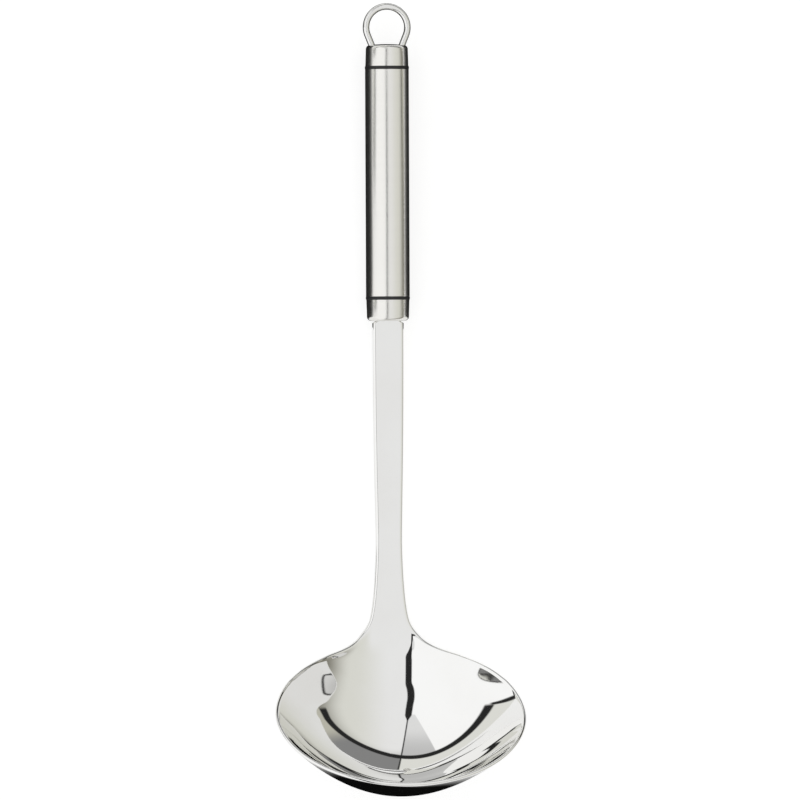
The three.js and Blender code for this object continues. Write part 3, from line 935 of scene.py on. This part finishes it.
def studio_world():
    """What the steel shows: a white tent with a dark slit, a screen's edge, and a belt over the table."""
    world = bpy.data.worlds.new("studio")
    bpy.context.scene.world = world
    tree = Tree(world)
    direction = tree.level(tree.node("ShaderNodeTexCoord")["Generated"])
    split = tree.node("ShaderNodeSeparateXYZ", None, {"Vector": direction})
    x, y, z = split["X"], split["Y"], split["Z"]

    # The slit parts the tent into a wall and a screen
    slit = x + z * SLIT_LEAN - y * SLIT_TURN
    by_wall = slit.step(-SOFT, SOFT)
    wall = tree.blend(x.step(*WALL_TURNS), WALL_TONE, WALL_FAR_TONE)
    wall = tree.blend(z.step(*WALL_FOOT), WALL_FOOT_TONE, wall)
    screen_edge = x + z * SCREEN_LEAN + y * SCREEN_TURN
    glass = tree.blend(y.step(*GLASS_FADES), GLASS_TONE, GLASS_FAR_TONE)
    past_edge = screen_edge.step(-CRISP, CRISP) * y.step(*SCREEN_ENDS)
    screen = tree.blend(past_edge, SCREEN_TONE, glass)
    tent = tree.blend(by_wall, screen, wall)

    # The table lies towards the loop, with its edge bowed and a darker skirt by the wall
    height = z - y * y * (x * TABLE_TILT + TABLE_BOW)
    on_table_side = y.step(*TABLE_STARTS)
    table = tree.blend(by_wall, TABLE_TONE, TABLE_BY_WALL_TONE)
    skirt = height.band(*SKIRT, SKIRT_SOFT) * slit.step(-CRISP, CRISP) * y.step(*SKIRT_STARTS)
    table = tree.blend(skirt, table, SKIRT_TONE)
    tent = tree.blend((1 - height.step(*TABLE_EDGE)) * on_table_side, tent, table)

    # What is dark: a belt over the table, the slit, which narrows to a line, and a post
    belt = height.band(*BELT, BELT_SOFT) * on_table_side
    from_slit = slit.maths("ABSOLUTE") + y.step(*SLIT_NARROWS) * SLIT_LOSS
    slit_line = 1 - from_slit.step(SLIT_HALF_WIDTH - CRISP, SLIT_HALF_WIDTH + CRISP)
    post_side = 1 - x.step(*POST_ACROSS)
    post = y.band(*POST_ALONG, POST_SOFT) * post_side * z.band(*POST_UP, POST_END_SOFT)
    dark = belt.maths("MAXIMUM", slit_line).maths("MAXIMUM", post)
    studio = tree.blend(dark, tent, DARK_TONE)

    path = tree.node("ShaderNodeLightPath")
    colour = tree.blend(path["Is Camera Ray"], studio, grey(1))
    light = tree.node("ShaderNodeBackground", None, {"Color": colour, "Strength": 1.0})[0]
    tree.node("ShaderNodeOutputWorld", None, {"Surface": light})


studio_world()

# Camera angles in degrees, sizes in metres, and the picture's middle in the ladle's millimetres
CAMERA_YAW = 8.9
CAMERA_ROLL = 0.25
CAMERA_DISTANCE = 6.0
PICTURE_WIDTH = 0.2928
PICTURE_MIDDLE = (4.33, 81.24, 0)


def photo_camera():
    """Looks down on the lying ladle, a little from its left, with a slight roll."""
    yaw, roll = math.radians(CAMERA_YAW), math.radians(CAMERA_ROLL)
    across = Vector(np.array([math.cos(yaw), 0, math.sin(yaw)]) @ LADLE_AXES)
    along = Vector(LADLE_AXES[1])
    right = across * math.cos(roll) - along * math.sin(roll)
    up = across * math.sin(roll) + along * math.cos(roll)
    towards = right.cross(up)
    target = Vector(placed(PICTURE_MIDDLE))
    lens = bpy.data.cameras.new("camera")
    lens.sensor_width = 36
    lens.lens = lens.sensor_width * CAMERA_DISTANCE / PICTURE_WIDTH
    camera = bpy.data.objects.new("camera", lens)
    facing = Matrix((right, up, towards)).transposed().to_4x4()
    camera.matrix_world = Matrix.Translation(target + towards * CAMERA_DISTANCE) @ facing
    bpy.context.scene.collection.objects.link(camera)
    bpy.context.scene.camera = camera


photo_camera()
bpy.context.scene.view_settings.view_transform = "Standard"
